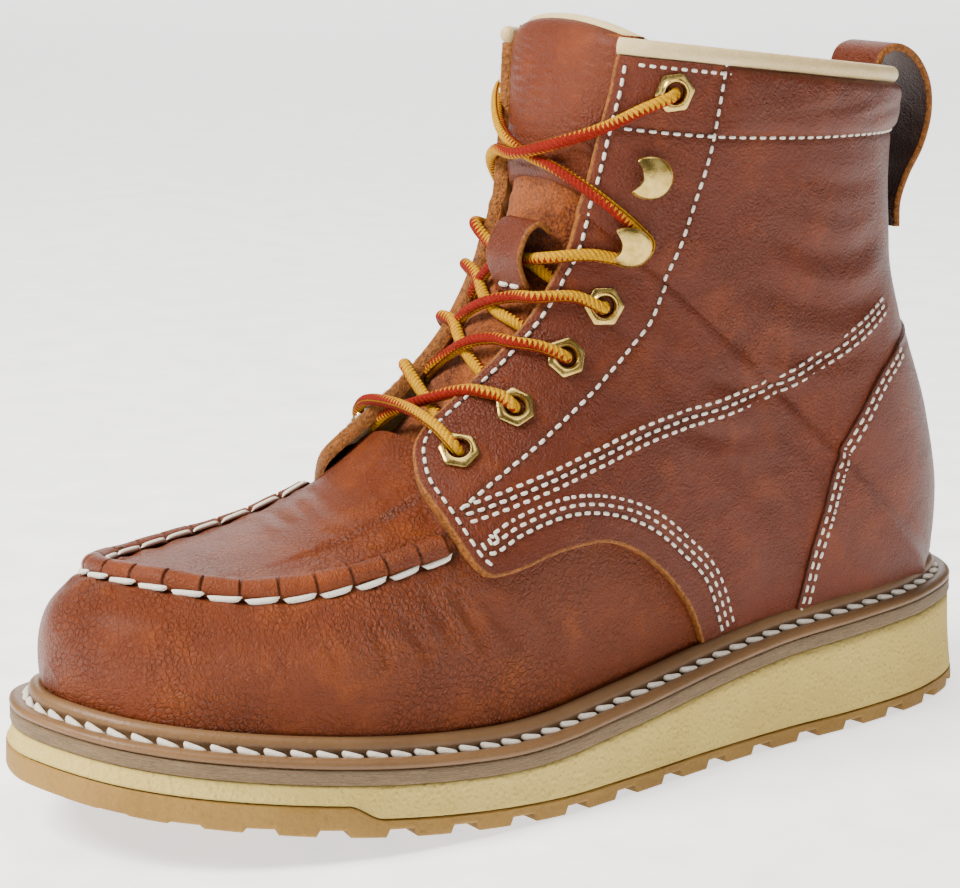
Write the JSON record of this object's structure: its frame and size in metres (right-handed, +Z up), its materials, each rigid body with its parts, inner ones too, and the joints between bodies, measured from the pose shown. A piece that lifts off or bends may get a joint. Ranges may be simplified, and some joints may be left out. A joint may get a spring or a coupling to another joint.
{
  "type": "moc toe work boot",
  "caption": "Left laced ankle boot with a stitched moc toe, side panels, speed hooks, a padded tongue and a flat wedge sole, standing empty.",
  "frame": {"origin": "on the floor under the middle of the boot's bounding box", "axes": "+X to the lateral side, -Y to the toe, +Z up"},
  "size_m": [0.1116, 0.3068, 0.2061],
  "materials": {
    "tread": "tan moulded rubber, matt",
    "wedge": "cream foam rubber, finely stippled",
    "strip": "grey-brown stacked sole leather, edge trimmed",
    "welt": "taupe welt with a raised bead, stitched",
    "insole": "pale natural leather, matt",
    "vamp": "oiled orange-brown full grain leather",
    "quarter": "oiled red-brown full grain leather",
    "cuff": "lightly padded red-brown leather",
    "tongue": "suede below, smooth padded leather on top",
    "brass": "pale antique brass, satin",
    "lace": "round braid, yellow with brick red flecks"
  },
  "bodies": {
    "root": {"outsole": "tread", "wedge": "wedge", "midsole": "strip", "welt": "welt", "insole": "insole", "upper": "vamp", "moc_seam": "vamp", "quarter_lateral": "quarter", "counter_lateral": "quarter", "quarter_medial": "quarter", "counter_medial": "quarter", "cuff": "cuff", "backstay": "quarter", "pull_loop": "cuff", "tongue": "tongue", "lace_keeper": "tongue", "eyelet_lateral_1": "brass", "eyelet_lateral_2": "brass", "eyelet_lateral_3": "brass", "eyelet_lateral_4": "brass", "hook_lateral_5": "brass", "hook_lateral_6": "brass", "eyelet_lateral_7": "brass", "eyelet_medial_1": "brass", "eyelet_medial_2": "brass", "eyelet_medial_3": "brass", "eyelet_medial_4": "brass", "hook_medial_5": "brass", "hook_medial_6": "brass", "eyelet_medial_7": "brass", "lace_1": "lace", "lace_2": "lace", "lace_3": "lace", "lace_4": "lace", "lace_5": "lace", "lace_6": "lace"}
  },
  "joints": []
}
